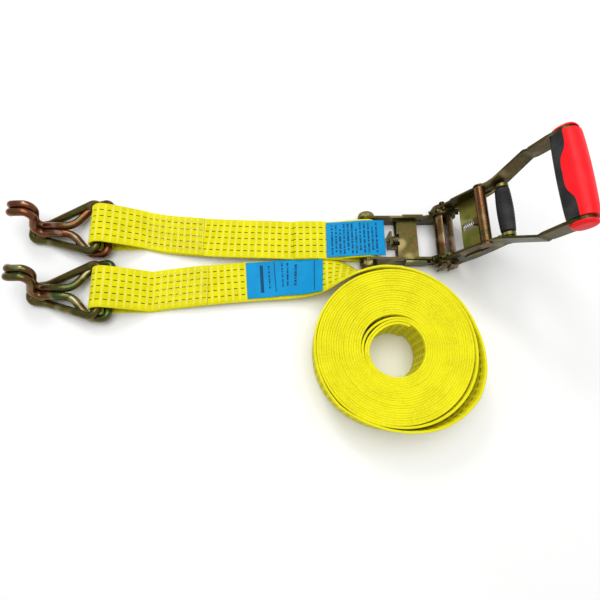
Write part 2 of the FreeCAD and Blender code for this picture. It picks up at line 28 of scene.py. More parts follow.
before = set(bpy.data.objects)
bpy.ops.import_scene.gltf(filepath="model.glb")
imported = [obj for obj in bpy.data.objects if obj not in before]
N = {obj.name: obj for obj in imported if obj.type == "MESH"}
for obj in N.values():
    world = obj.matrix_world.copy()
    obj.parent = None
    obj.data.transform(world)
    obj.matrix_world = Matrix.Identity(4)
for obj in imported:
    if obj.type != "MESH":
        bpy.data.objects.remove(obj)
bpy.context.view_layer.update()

# ------------------------------------------------------------ layout numbers, mm
CX, CY = -31.221, 132.822
SPX, SPY, SPZ = 186.0, 219.6, 19.8
THETA = math.radians(59.0)
BOLT_X, BOLT_Z = SPX - 93.0, SPZ - 9.2
EYE_R = 12.6 + 1.3
PZ = 12.6 + 2.6 + 0.2
P1 = (-230.5, 237.0)
P2 = (-221.0, 156.6)
EYE_YAW = 0.5
COIL = (108.5, 79.0)
T = 2.50                      # webbing as drawn; layers lie 2.6 apart
PITCH = 2.6
T_COIL = 2.56
rnd = random.Random(7)


def W(x, y, z):
    """Layout millimetres to the row frame."""
    return Vector(((x - CX) / 1000, (y - CY) / 1000, z / 1000))


# ------------------------------------------------------------ node helpers
class Mat:
    def __init__(self, name):
        self.m = bpy.data.materials.new(name)
        self.m.use_nodes = True
        self.t = self.m.node_tree
        self.b = self.t.nodes.get("Principled BSDF")

    def n(self, kind, **kw):
        node = self.t.nodes.new(kind)
        for k, v in kw.items():
            if k.startswith("i_"):
                key = k[2:]
                node.inputs[int(key) if key.isdigit() else key.replace("_", " ")].default_value = v
            else:
                setattr(node, k, v)
        return node

    def l(self, a, b):
        self.t.links.new(a, b)

    def math(self, op, a, b=0.0, c=0.0, clamp=False):
        node = self.n("ShaderNodeMath", operation=op, use_clamp=clamp)
        for i, v in enumerate((a, b, c)):
            if isinstance(v, (int, float)):
                node.inputs[i].default_value = v
            else:
                self.l(v, node.inputs[i])
        return node.outputs[0]

    def step(self, v, lo, hi):
        node = self.n("ShaderNodeMapRange", interpolation_type="SMOOTHSTEP")
        self.l(v, node.inputs[0])
        node.inputs[1].default_value = lo
        node.inputs[2].default_value = hi
        return node.outputs[0]

    def mix(self, fac, a, b, mode="MIX"):
        node = self.n("ShaderNodeMix", data_type="RGBA", blend_type=mode)
        ins = [i for i in node.inputs if i.type == "RGBA"]
        f = node.inputs[0]
        if isinstance(fac, (int, float)):
            f.default_value = fac
        else:
            self.l(fac, f)
        for i, v in zip(ins, (a, b)):
            if isinstance(v, tuple):
                i.default_value = (*v, 1.0) if len(v) == 3 else v
            else:
                self.l(v, i)
        return [o for o in node.outputs if o.type == "RGBA"][0]

    def noise(self, vec, scale, detail=3.0, rough=0.55):
        node = self.n("ShaderNodeTexNoise")
        self.l(vec, node.inputs["Vector"])
        node.inputs["Scale"].default_value = scale
        node.inputs["Detail"].default_value = detail
        node.inputs["Roughness"].default_value = rough
        return node.outputs[0]

    def obj(self):
        return self.n("ShaderNodeTexCoord").outputs["Object"]

    def uv(self):
        u = self.n("ShaderNodeUVMap", uv_map="strip")
        s = self.n("ShaderNodeSeparateXYZ")
        self.l(u.outputs[0], s.inputs[0])
        return s.outputs[0], s.outputs[1]

    def bump(self, h, strength, dist, prev=None):
        node = self.n("ShaderNodeBump")
        node.inputs["Strength"].default_value = strength
        node.inputs["Distance"].default_value = dist
        self.l(h, node.inputs["Height"])
        if prev is not None:
            self.l(prev, node.inputs["Normal"])
        self.l(node.outputs[0], self.b.inputs["Normal"])
        return node.outputs[0]


def plating(name, base, warm, green, pale, rough=0.33, scale=1.0):
    """Yellow-zinc plating: thin-film tints that drift over the metal."""
    base, warm, green = ((0.74 * r, 0.68 * g, 0.48 * b) for r, g, b in (base, warm, green))
    m = Mat(name)
    p = m.obj()
    big = m.noise(p, 22 * scale, 2.0)
    mid = m.noise(p, 70 * scale, 3.0)
    fine = m.noise(p, 900, 2.0)
    c = m.mix(m.step(big, 0.42, 0.62), base, warm)
    c = m.mix(m.step(mid, 0.50, 0.66), c, green)
    c = m.mix(m.math("MULTIPLY", m.step(m.noise(p, 38 * scale, 1.0), 0.56, 0.72), 0.7), c, pale)
    c = m.mix(m.math("MULTIPLY", m.step(fine, 0.35, 0.75), 0.22), c, (0.30, 0.26, 0.12))
    worn = m.step(m.noise(p, 160, 4.0, 0.7), 0.60, 0.74)
    c = m.mix(m.math("MULTIPLY", worn, 0.35), c, (0.07, 0.055, 0.03))
    m.l(c, m.b.inputs["Base Color"])
    m.b.inputs["Metallic"].default_value = 0.93
    r = m.n("ShaderNodeMapRange")
    m.l(m.noise(p, 120, 3.0), r.inputs[0])
    r.inputs[3].default_value = rough - 0.08
    r.inputs[4].default_value = rough + 0.16
    m.l(r.outputs[0], m.b.inputs["Roughness"])
    h = m.bump(m.noise(p, 1400, 2.0), 0.12, 0.0002)
    m.bump(m.noise(p, 90, 2.0), 0.10, 0.0006, h)
    return m.m


zinc = plating("zinc_plate", (0.105, 0.088, 0.028), (0.15, 0.082, 0.036), (0.066, 0.080, 0.021), (0.32, 0.27, 0.11), 0.30)
zinc_dark = plating("zinc_dark", (0.062, 0.054, 0.016), (0.095, 0.058, 0.024), (0.044, 0.052, 0.014), (0.24, 0.21, 0.08), 0.30)
zinc_bolt = plating("zinc_bolt", (0.12, 0.098, 0.032), (0.085, 0.056, 0.025), (0.045, 0.052, 0.018), (0.32, 0.27, 0.11), 0.30, 1.6)
zinc_bar = plating("zinc_bar", (0.17, 0.095, 0.043), (0.16, 0.055, 0.028), (0.080, 0.072, 0.022), (0.40, 0.27, 0.15), 0.24, 1.2)
zinc_yellow = plating("zinc_yellow", (0.27, 0.27, 0.055), (0.25, 0.20, 0.06), (0.17, 0.22, 0.045), (0.46, 0.45, 0.16), 0.34)
hook_red = plating("hook_red", (0.22, 0.060, 0.040), (0.28, 0.095, 0.075), (0.12, 0.095, 0.035), (0.46, 0.30, 0.22), 0.23, 1.3)
hook_green = plating("hook_green", (0.095, 0.115, 0.038), (0.22, 0.10, 0.055), (0.055, 0.135, 0.045), (0.40, 0.33, 0.17), 0.23, 1.3)
hook_olive = plating("hook_olive", (0.125, 0.115, 0.030), (0.19, 0.13, 0.045), (0.080, 0.095, 0.024), (0.36, 0.33, 0.14), 0.26, 1.1)


def spring_shaded_mat():
    m = Mat("spring_wire_shaded")
    p = m.obj()
    # Both wire tones are painted darker than bare steel: painted shade for the dark slot the springs sit in.
    c = m.mix(m.step(m.noise(p, 300, 3.0), 0.4, 0.65), (0.36, 0.34, 0.28), (0.22, 0.20, 0.16))
    m.l(c, m.b.inputs["Base Color"])
    m.b.inputs["Metallic"].default_value = 1.0
    m.b.inputs["Roughness"].default_value = 0.3
    m.bump(m.noise(p, 2500, 1.0), 0.1, 0.0001)
    return m.m


def black_mat():
    m = Mat("black_rubber")
    p = m.obj()
    c = m.mix(m.step(m.noise(p, 60, 4.0), 0.35, 0.7), (0.012, 0.012, 0.013), (0.035, 0.034, 0.034))
    c = m.mix(m.math("MULTIPLY", m.step(m.noise(p, 420, 4.0, 0.7), 0.62, 0.75), 0.35), c, (0.10, 0.095, 0.09))
    m.l(c, m.b.inputs["Base Color"])
    r = m.n("ShaderNodeMapRange")
    m.l(m.noise(p, 200, 3.0), r.inputs[0])
    r.inputs[3].default_value = 0.45
    r.inputs[4].default_value = 0.72
    m.l(r.outputs[0], m.b.inputs["Roughness"])
    m.b.inputs["Specular IOR Level"].default_value = 0.22
    m.bump(m.noise(p, 1500, 3.0), 0.25, 0.0003)
    return m.m


def red_mat():
    m = Mat("red_plastic")
    p = m.obj()
    c = m.mix(m.step(m.noise(p, 35, 3.0), 0.35, 0.7), (0.86, 0.004, 0.010), (0.93, 0.008, 0.016))
    c = m.mix(m.math("MULTIPLY", m.step(m.noise(p, 500, 4.0, 0.7), 0.60, 0.74), 0.25), c, (0.50, 0.008, 0.012))
    m.l(c, m.b.inputs["Base Color"])
    r = m.n("ShaderNodeMapRange")
    m.l(m.noise(p, 160, 3.0), r.inputs[0])
    r.inputs[3].default_value = 0.34
    r.inputs[4].default_value = 0.52
    m.l(r.outputs[0], m.b.inputs["Roughness"])
    m.b.inputs["Specular IOR Level"].default_value = 0.22
    m.bump(m.noise(p, 1100, 3.0), 0.16, 0.0003)
    return m.m


def webbing_mat(name, dash=1.0, bright=1.0):
    """Woven polyester: warp ribs along the run, cross ribs, and five rows of dark marker dashes."""
    m = Mat(name)
    u, v = m.uv()                       # metres along and across
    p = m.obj()
    tw = m.math("SINE", m.math("MULTIPLY", v, 2 * math.pi / 0.00155))
    fw = m.math("SINE", m.math("MULTIPLY", u, 2 * math.pi / 0.0021))
    check = m.math("MULTIPLY", tw, fw)
    rib = m.math("COSINE", m.math("MULTIPLY", u, 2 * math.pi / 0.0082))
    drift = m.noise(p, 45, 3.0)
    c = m.mix(m.step(drift, 0.35, 0.68), (0.78 * bright, 0.725 * bright, 0.002), (0.69 * bright, 0.635 * bright, 0.001))
    edge = m.math("MAXIMUM", m.math("SUBTRACT", v, 0.0486), m.math("SUBTRACT", 0.0014, v))
    face = m.math("SUBTRACT", 1.0, m.step(edge, -0.0005, 0.0))
    c = m.mix(m.math("MULTIPLY", m.math("MULTIPLY", m.step(rib, 0.45, 0.98), face), 0.50), c, (0.84, 0.81, 0.20))
    c = m.mix(m.math("MULTIPLY", m.step(check, 0.1, 0.9), 0.30), c, (0.62, 0.55, 0.0))
    # dashes: five rows, each with its own phase
    row = m.math("DIVIDE", m.math("ADD", v, 0.004 - 0.009), 0.008)
    rid = m.math("FLOOR", row)
    rf = m.math("ABSOLUTE", m.math("SUBTRACT", m.math("FRACT", row), 0.5))
    inrow = m.math("LESS_THAN", rf, 0.070)
    ok = m.math("MULTIPLY", m.math("GREATER_THAN", rid, -0.5), m.math("LESS_THAN", rid, 4.5))
    ph = m.math("MULTIPLY", m.math("MODULO", m.math("ADD", rid, 10.0), 2.0), 0.06)
    du = m.math("FRACT", m.math("ADD", m.math("DIVIDE", u, 0.0082), ph))
    on = m.math("LESS_THAN", m.math("ABSOLUTE", m.math("SUBTRACT", du, 0.5)), 0.26)
    d = m.math("MULTIPLY", m.math("MULTIPLY", inrow, ok), on)
    c = m.mix(m.math("MULTIPLY", d, 0.94 * dash), c, (0.008, 0.008, 0.006))
    # Both long edges are painted lighter: fibre fuzz, and also a painted highlight that brightens the coil's top and
    # lifts the shade between its turns.
    fuzz_and_painted_highlight = m.math("MULTIPLY", m.step(edge, 0.0, 0.0006), m.step(m.noise(p, 820, 2.0), 0.44, 0.62))
    c = m.mix(m.math("MULTIPLY", fuzz_and_painted_highlight, 0.55), c, (0.86, 0.82, 0.05))
    dirt = m.step(m.noise(p, 240, 5.0, 0.7), 0.58, 0.76)
    c = m.mix(m.math("MULTIPLY", dirt, 0.14), c, (0.42, 0.38, 0.06))
    m.l(c, m.b.inputs["Base Color"])
    m.b.inputs["Roughness"].default_value = 0.72
    m.b.inputs["Specular IOR Level"].default_value = 0.08
    hh = m.math("ADD", m.math("MULTIPLY", check, 0.5), m.math("MULTIPLY", m.math("MULTIPLY", rib, face), 0.35))
    h = m.bump(hh, 0.55, 0.0005)
    m.bump(m.noise(p, 3000, 2.0), 0.2, 0.0002, h)
    return m.m


def label_mat(name, columns):
    """Coated blue label with plain dark bars."""
    m = Mat(name)
    u, v = m.uv()
    p = m.obj()
    c = m.mix(m.step(m.noise(p, 50, 3.0), 0.35, 0.7), (0.0, 0.235, 0.53), (0.0, 0.275, 0.60))
    ink = None
    for k, (u0, w, v0, v1, solid) in enumerate(columns):
        a = m.math("LESS_THAN", m.math("ABSOLUTE", m.math("SUBTRACT", u, u0)), w / 2)
        b = m.math("MULTIPLY", m.math("GREATER_THAN", v, v0), m.math("LESS_THAN", v, v1))
        x = m.math("MULTIPLY", a, b)
        if not solid:
            n2 = m.n("ShaderNodeTexNoise", noise_dimensions="1D")
            m.l(m.math("ADD", m.math("MULTIPLY", v, 1.0), k * 0.37), n2.inputs["W"])
            n2.inputs["Scale"].default_value = 420.0
            n2.inputs["Detail"].default_value = 1.0
            x = m.math("MULTIPLY", x, m.math("GREATER_THAN", n2.outputs[0], 0.44))
        ink = x if ink is None else m.math("MAXIMUM", ink, x)
    c = m.mix(m.math("MULTIPLY", ink, 0.88), c, (0.004, 0.025, 0.09))
    weave = m.math("MULTIPLY", m.math("SINE", m.math("MULTIPLY", v, 2 * math.pi / 0.0007)), m.math("SINE", m.math("MULTIPLY", u, 2 * math.pi / 0.0007)))
    c = m.mix(m.math("MULTIPLY", m.step(weave, 0.2, 0.9), 0.10), c, (0.10, 0.50, 0.85))
    m.l(c, m.b.inputs["Base Color"])
    m.b.inputs["Roughness"].default_value = 0.5
    m.b.inputs["Specular IOR Level"].default_value = 0.10
    h = m.bump(weave, 0.2, 0.0001)
    m.bump(m.noise(p, 120, 2.0), 0.25, 0.0006, h)
    return m.m


def thread_mat(name, col):
    m = Mat(name)
    p = m.obj()
    c = m.mix(m.step(m.noise(p, 900, 2.0), 0.4, 0.65), col, tuple(x * 0.6 for x in col))
    m.l(c, m.b.inputs["Base Color"])
    m.b.inputs["Roughness"].default_value = 0.7
    m.bump(m.noise(p, 4000, 2.0), 0.4, 0.0002)
    return m.m


spring_shaded = spring_shaded_mat()
black = black_mat()
red = red_mat()
web_mat = webbing_mat("webbing")
thread_y = thread_mat("thread_yellow", (0.80, 0.74, 0.12))
thread_b = thread_mat("thread_blue", (0.02, 0.30, 0.60))

# ------------------------------------------------------------ hard CAD pieces
paint = {
    zinc: ["lock_pawl", "ratchet_wheel_far", "ratchet_wheel_near", "drive_spring_seat"],
    zinc_dark: ["frame_channel", "handle_plate_far", "handle_plate_near"],
    zinc_yellow: ["drive_pawl"],
    zinc_bolt: ["anchor_bolt", "anchor_nut", "anchor_washers", "anchor_sleeve", "spindle_washers", "split_pins"],
    zinc_bar: ["spindle_bar_left", "spindle_bar_right", "handle_spacer_rod", "grip_tube", "finger_bar"],
    spring_shaded: ["lock_pawl_spring", "drive_pawl_spring"],
    hook_red: ["fixed_hook_wire"],
    hook_green: ["long_hook_wire"],
    hook_olive: ["fixed_hook_ring", "long_hook_ring", "fixed_hook_welds", "long_hook_welds"],
    black: ["grip_body"],
    red: ["grip_cover", "grip_cap_far", "grip_cap_near"],
}
for mat, names in paint.items():
    for nm in names:
        o = N[nm]
        o.data.materials.clear()
        o.data.materials.append(mat)
for nm in ["frame_channel", "lock_pawl", "handle_plate_far", "handle_plate_near", "drive_pawl", "drive_spring_seat",
           "ratchet_wheel_far", "ratchet_wheel_near", "anchor_washers", "spindle_washers", "spindle_bar_left", "spindle_bar_right"]:
    bv = N[nm].modifiers.new("edge", "BEVEL")
    bv.width = 0.00035
    bv.segments = 2
    bv.limit_method = "ANGLE"
    bv.angle_limit = math.radians(35)
    bv.harden_normals = False


# ------------------------------------------------------------ strips of webbing
def catmull(rows, step):
    """Smooth stations, each a tuple of numbers of which the first three are a place, at about the given step."""
    out = []
    n = len(rows)
    for i in range(n - 1):
        p0, p1, p2, p3 = rows[max(0, i - 1)], rows[i], rows[i + 1], rows[min(n - 1, i + 2)]
        d = math.dist(p1[:3], p2[:3])
        k = max(1, int(round(d / step)))
        for j in range(k):
            t = j / k
            t2, t3 = t * t, t * t * t
            out.append(tuple(0.5 * ((2 * b) + (-a + c) * t + (2 * a - 5 * b + 4 * c - e) * t2 + (-a + 3 * b - 3 * c + e) * t3)
                             for a, b, c, e in zip(p0, p1, p2, p3)))
    out.append(tuple(rows[-1]))
    return out


def strip(name, path, width, thick, body, mat, rounds=5, across=20, relief=0.0, seed=0.0, edge=0.9):
    """A flat strip. path holds (centre mm, across unit, up unit); the strip's left edge is at +across."""
    prof = []
    hw, ht = width / 2, thick / 2
    r = min(ht, edge)
    for i in range(across + 1):
        prof.append((hw - r - (2 * (hw - r)) * i / across, ht))
    for i in range(1, rounds):
        a = math.pi / 2 + math.pi * i / rounds
        prof.append((-hw + r + r * math.cos(a), ht * math.sin(a)))
    for i in range(across + 1):
        prof.append((-(hw - r) + (2 * (hw - r)) * i / across, -ht))
    for i in range(1, rounds):
        a = -math.pi / 2 + math.pi * i / rounds
        prof.append((hw - r + r * math.cos(a), ht * math.sin(a)))
    n = len(prof)
    verts, faces, us = [], [], []
    s = 0.0
    for i, (c, a, u) in enumerate(path):
        if i:
            s += (c - path[i - 1][0]).length
        us.append(s)
        for x, h in prof:
            k = relief * noise.noise(Vector((s * 0.35, x * 0.22, seed))) if relief else 0.0
            verts.append(tuple(W(*(c + a * x + u * (h + k)))))
    m = len(path)
    for i in range(m - 1):
        for j in range(n):
            j2 = (j + 1) % n
            faces.append((i * n + j, i * n + j2, (i + 1) * n + j2, (i + 1) * n + j))
    faces.append(tuple(range(n - 1, -1, -1)))
    faces.append(tuple((m - 1) * n + j for j in range(n)))
    me = bpy.data.meshes.new(name)
    me.from_pydata(verts, [], faces)
    me.update()
    uv = me.uv_layers.new(name="strip")
    loops = me.loops
    flat = [0.0] * (2 * len(loops))
    for li in range(len(loops)):
        vi = loops[li].vertex_index
        i, j = divmod(vi, n)
        flat[2 * li] = us[i] / 1000
        flat[2 * li + 1] = (prof[j][0] + hw) / 1000
    uv.data.foreach_set("uv", flat)
    me.polygons.foreach_set("use_smooth", [True] * len(me.polygons))
    import bmesh
    bm = bmesh.new()
    bm.from_mesh(me)
    bmesh.ops.recalc_face_normals(bm, faces=bm.faces)
    bm.to_mesh(me)
    bm.free()
    o = bpy.data.objects.new(name, me)
    bpy.context.scene.collection.objects.link(o)
    me.materials.append(mat)
    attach(o, body)
    return o, s / 1000


def frames_of(points, phis, up0=1.0):
    """Turn points and turn angles into (centre, across, up)."""
    out = []
    n = len(points)
    for i, (p, phi) in enumerate(zip(points, phis)):
        a, b = points[max(0, i - 1)], points[min(n - 1, i + 1)]
        t = b - a
        t.normalize()
        h = math.hypot(t.x, t.y)
        if h > 1e-6:
            base = Vector((-t.y / h, t.x / h, 0))
        else:
            base = Vector((0, 1, 0))
        base = base * up0
        up = base.cross(t) * -1.0
        up.normalize()
        c, s = math.cos(math.radians(phi)), math.sin(math.radians(phi))
        out.append((p, base * c - up * s, base * s + up * c))
    return out


def eye_path(px, py, yaw, tail_x, zc):
    """From the tail's end back over the top and round the crossbars to the bottom of the eye. zc(x) is the height of
    the middle of the two layers."""
    c, s = math.cos(math.radians(yaw)), math.sin(math.radians(yaw))
    across = Vector((-s, c, 0))
    pts = []                                   # (along, height, upx, upz), along from the crossbars
    ax = 52.0
    hi = zc(px + ax) + PITCH / 2 - PZ
    d = math.hypot(ax, hi)
    ta = math.atan2(hi, ax) + math.acos(EYE_R / d)
    tx, tz = EYE_R * math.cos(ta), EYE_R * math.sin(ta)
    x = tail_x - px
    while x > ax + 1:
        z = zc(px + x) + PITCH / 2 - PZ
        pts.append((x, z))
        x -= 2.0
    k = 16
    for i in range(k):
        f = i / k
        sag = 0.9 * math.sin(math.pi * f)
        pts.append((ax + (tx - ax) * f, hi + (tz - hi) * f + sag))
    a1 = math.radians(270)
    k = 26
    for i in range(k + 1):
        a = ta + (a1 - ta) * i / k
        pts.append((EYE_R * math.cos(a), EYE_R * math.sin(a)))
    return pts, across, c, s


def plain(points):
    """Frames for a path that stays in one upright plane; up is on the left of travel."""
    pts, across, c, s, px, py = points
    out = []
    n = len(pts)
    for i, (x, z) in enumerate(pts):
        a, b = pts[max(0, i - 1)], pts[min(n - 1, i + 1)]
        tx, tz = b[0] - a[0], b[1] - a[1]
        h = math.hypot(tx, tz)
        tx, tz = tx / h, tz / h
        up = Vector((tz * c, tz * s, -tx))
        out.append((Vector((px + x * c, py + x * s, PZ + z)), across.copy(), up))
    return out


def interp(table):
    def f(x):
        for (x0, v0), (x1, v1) in zip(table, table[1:]):
            if x <= x1:
                return v0 + (v1 - v0) * max(0.0, (x - x0)) / (x1 - x0)
        return table[-1][1]
    return f


ZL = 0.2 + 2.6
# ---- short strap
ex1 = P1[0] + 50.0
zc1 = interp([(ex1, ZL), (-158, ZL + 1.4), (-135, ZL + 3.8), (-112, ZL + 6.6), (-85, ZL + 9.4), (-55, ZL + 10.6), (-25, ZL + 10.2), (0, ZL + 9.3), (30, BOLT_Z + 2.2), (60, BOLT_Z)])
yc1 = interp([(-231, 237.0), (ex1, 237.4), (-158, 232.6), (-135, 229.0), (-112, 226.0), (-85, 223.0), (-55, 221.2), (-25, 220.4), (0, SPY), (60, SPY)])
pts, across, c, s = eye_path(P1[0], P1[1], EYE_YAW, -109.0, zc1)
path = []
for (cen, ac, up) in plain((pts, across, c, s, P1[0], P1[1])):
    dy = yc1(cen.x) - (P1[1] + (cen.x - P1[0]) * s)
    if cen.x < ex1 - 2:
        dy = 0.0
    path.append((cen + Vector((0, dy, 0)), ac, up))
rows = [(P1[0] + 4, P1[1], PZ - EYE_R)]
st = [(ex1 - 22, None, -PITCH / 2), (ex1, None, -PITCH / 2), (-158, None, -PITCH / 2), (-135, None, -PITCH / 2), (-113, None, -PITCH / 2), (-104, None, -0.4), (-85, None, 0),
      (-55, None, 0), (-25, None, 0), (-4, None, -0.4), (6, None, -PITCH / 2), (30, None, -PITCH / 2), (46, None, -PITCH / 2), (60, None, -PITCH / 2 - 1.0)]
for x, _, dz in st:
    rows.append((x, yc1(x) if x > ex1 else P1[1] + (x - P1[0]) * s, zc1(x) + dz))
# round the anchor sleeve
RB = 7.4 + 0.4 + T / 2
low = [(BOLT_X - 20, SPY, BOLT_Z - 5.4), (BOLT_X - 8, SPY, BOLT_Z - RB + 0.5)]
rows += low
dense = catmull(rows, 2.2)
pp = [Vector(q) for q in dense]
arc = [Vector((BOLT_X + RB * math.cos(math.radians(a)), SPY, BOLT_Z + RB * math.sin(math.radians(a)))) for a in range(-84, 97, 9)]
back = [Vector(q) for q in catmull([tuple(arc[-1]), (BOLT_X - 12, SPY, BOLT_Z + RB - 1.6), (BOLT_X - 26, SPY, BOLT_Z + 4.8), (60, SPY, BOLT_Z + 2.6), (46, SPY, BOLT_Z + PITCH / 2), (30, SPY, BOLT_Z + 2.2 + PITCH / 2),
                                    (2, SPY, zc1(2) + PITCH / 2)], 2.2)]
main = pp + arc + back[1:]
cut = []
n = len(main)
for i, p in enumerate(main):
    a, b = main[max(0, i - 1)], main[min(n - 1, i + 1)]
    t = (b - a).normalized()
    # across stays +Y, so up turns with the run
    ac = Vector((0, 1, 0)) - t * t.y
    ac.normalize()
    cut.append((p, ac, t.cross(ac)))
# the eye's frames have the across axis on +Y too
path = path[:-1] + cut
web1, len1 = strip("fixed_webbing_woven", path, 50.0, T, "fixed_strap", web_mat, relief=0.5, seed=1.3)
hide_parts("fixed_webbing")

# ---- long strap: eye, run, twist onto its edge, coil
ex2 = P2[0] + 50.0
zc2 = interp([(ex2, ZL), (-150, ZL + 1.5), (-125, ZL + 3.6), (-104, ZL + 4.8), (-75, ZL + 5.2), (-45, ZL + 4.8)])
yc2 = interp([(-221, 156.6), (ex2, 157.0), (-150, 159.6), (-125, 161.8), (-104, 163.6), (-75, 166.0), (-45, 168.4)])
pts, across, c, s = eye_path(P2[0], P2[1], EYE_YAW, -101.0, zc2)
path = []
for (cen, ac, up) in plain((pts, across, c, s, P2[0], P2[1])):
    dy = yc2(cen.x) - (P2[1] + (cen.x - P2[0]) * s) if cen.x >= ex2 - 2 else 0.0
    path.append((cen + Vector((0, dy, 0)), ac, up))
rows = [(P2[0] + 4, 156.63, PZ - EYE_R, 0.0), (ex2 - 22, 156.85, PZ - EYE_R, 0.0), (ex2, 157.0, ZL - 1.3, 0.0), (-150, 159.6, ZL + 0.2, 0.0), (-125, 161.8, ZL + 2.3, 0.0), (-104, 163.6, ZL + 3.6, 0.0),
        (-96, 164.3, ZL + 4.8, 0.0), (-75, 166.0, ZL + 5.2, 0.0), (-45, 168.4, ZL + 4.8, 0.0), (-20, 169.6, 7.8, 1.0), (0, 170.6, 8.8, 4.0), (18, 171.6, 11.0, 9.0),
        (36, 173.4, 15.2, 19.0), (50, 174.4, 19.2, 34.0), (64, 174.4, 22.8, 52.0), (76, 173.8, 25.0, 67.0), (87, 172.8, 26.0, 79.0), (97, 171.9, 26.2, 87.0), (106, 171.2, 26.2, 90.0)]
dense = catmull(rows, 2.2)
run2 = frames_of([Vector(q[:3]) for q in dense], [q[3] for q in dense])
TABLE = [(-180, 88.6), (-165, 88.4), (-150, 88.6), (-135, 88.6), (-121, 86.5), (-107, 86.0), (-93, 87.6), (-79, 90.5),
         (-64, 95.0), (-48, 98.6), (-32, 101.6), (-17, 100.0), (-2, 96.6), (13, 93.2), (27, 92.2), (41, 91.8),
         (56, 91.6), (70, 91.4), (85, 91.0), (100, 90.4), (116, 90.0), (133, 89.8), (150, 89.6), (166, 89.2), (180, 88.6)]
BASE = [(-180, 88.2), (-165, 88.0), (-150, 87.4), (-135, 86.8), (-121, 86.0), (-107, 85.6), (-93, 86.0), (-79, 86.8),
        (-64, 87.6), (-48, 88.3), (-32, 89.0), (-17, 89.6), (-2, 90.0), (13, 90.5), (27, 91.0), (41, 91.3),
        (56, 91.5), (70, 91.3), (85, 90.9), (100, 90.3), (116, 89.9), (133, 89.6), (150, 89.2), (166, 88.7), (180, 88.2)]
outer_r, base_r = interp(TABLE), interp(BASE)


def hole_r(a):
    """The hole is a circle a little off the coil's centre."""
    ca, sa = math.cos(math.radians(a)), math.sin(math.radians(a))
    dx, dy = 1.0, -1.2
    q = ca * dx + sa * dy
    return q + math.sqrt(q * q + 29.0 ** 2 - dx * dx - dy * dy)


lean = interp([(0, 1.0), (265, 1.0), (400, 0.26), (620, 0.22), (800, 0.0), (900, 0.0)])
TURNS = 22
START_A = 91.6
coil = []
deg = 2.0
total = TURNS * 360 + 40
while deg <= total:
    a = (START_A - deg + 180) % 360 - 180
    f = min(1.0, deg / (TURNS * 360.0))
    # the outer three wraps go out round the loose bump together
    w = lean(deg)
    flare = (outer_r(a) - base_r(a)) * w
    out = base_r(a) + flare * 0.5 - 1.3
    r = out + (hole_r(a) + 1.3 - out) * f
    # the last turns have sprung loose: a gap at the upper left
    left = total - deg
    if left < 900:
        k = min(1.0, (900 - left) / 150.0)
        d = max(0.0, math.cos(math.radians(a - 128))) ** 2
        r -= k * 4.3 * d
        if left < 150:
            r -= 0.9 * (1 - left / 150.0) ** 2
    if deg < 60:
        r += 2.55 * (1 - deg / 60) ** 2
    turn = deg / 360.0
    r += 0.16 * noise.noise(Vector((math.cos(math.radians(a)) * 1.7, math.sin(math.radians(a)) * 1.7, turn * 2.1)))
    z = 26.1 + 0.5 * noise.noise(Vector((deg / 150.0, 3.1, turn * 0.9))) + 0.35 * math.sin(turn * 2 * math.pi * 0.618 * 1.7)
    t = math.radians(a)
    radial = Vector((math.cos(t), math.sin(t), 0))
    tilt = flare * (1 - f) / 50.0
    down = Vector((0, 0, -1)) - radial * tilt
    down.normalize()
    face = radial - Vector((0, 0, 1)) * tilt
    face.normalize()
    coil.append((Vector((COIL[0], COIL[1], z)) + radial * r, down, face))
    deg += max(2.2, 2.2 * 60 / r)
full = path[:-1] + run2 + coil
web2, len2 = strip("long_webbing_woven", full, 50.0, T_COIL, "long_strap", web_mat, across=10, rounds=4, relief=0.0, seed=4.7, edge=0.38)
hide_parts("long_webbing_run", "long_webbing_coil")
print("strap lengths", round(len1, 3), round(len2, 3))


# ---- labels
def label_strip(name, stations, width, body, mat, node, thick=0.7):
    dense = catmull(stations, 2.0)
    fr = frames_of([Vector(q[:3]) for q in dense], [q[3] for q in dense])
    o, ln = strip(name, fr, width, thick, body, mat, rounds=3, across=24, relief=0.25, seed=8.0)
    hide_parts(node)
    return o


cols1 = [(0.0070 + 0.0049 * k, 0.0022, 0.003 + 0.003 * (k % 3 == 1), 0.043 - 0.006 * (k % 4 == 2), False) for k in range(12)]
cols2 = [(0.0185, 0.0040, 0.006, 0.041, True), (0.0275, 0.0019, 0.010, 0.040, False), (0.0345, 0.0011, 0.006, 0.044, True), (0.0435, 0.0019, 0.011, 0.042, False),
         (0.0495, 0.0021, 0.011, 0.042, False), (0.0590, 0.0030, 0.012, 0.040, False), (0.0820, 0.0011, 0.003, 0.044, True)]
lab1 = label_strip("fixed_label_sewn", [(42, SPY - 0.8, BOLT_Z + 4.4, 0), (64, SPY - 0.8, BOLT_Z + 7.0, 0), (84, SPY - 0.8, BOLT_Z + 10.4, 0), (96, SPY - 0.8, BOLT_Z + 11.0, 0), (112.4, SPY - 0.8, BOLT_Z + 10.4, 0)],
                   46.0, "fixed_strap", label_mat("label_fine", cols1), "fixed_label")
lab2 = label_strip("long_label_sewn", [(-55, 168.2, 10.0, 0), (-30, 170.0, 10.3, 1), (-8, 171.6, 11.5, 3), (10, 171.5, 13.6, 7), (36, 172.2, 19.8, 17)],
                   46.0, "long_strap", label_mat("label_bold", cols2), "long_label")


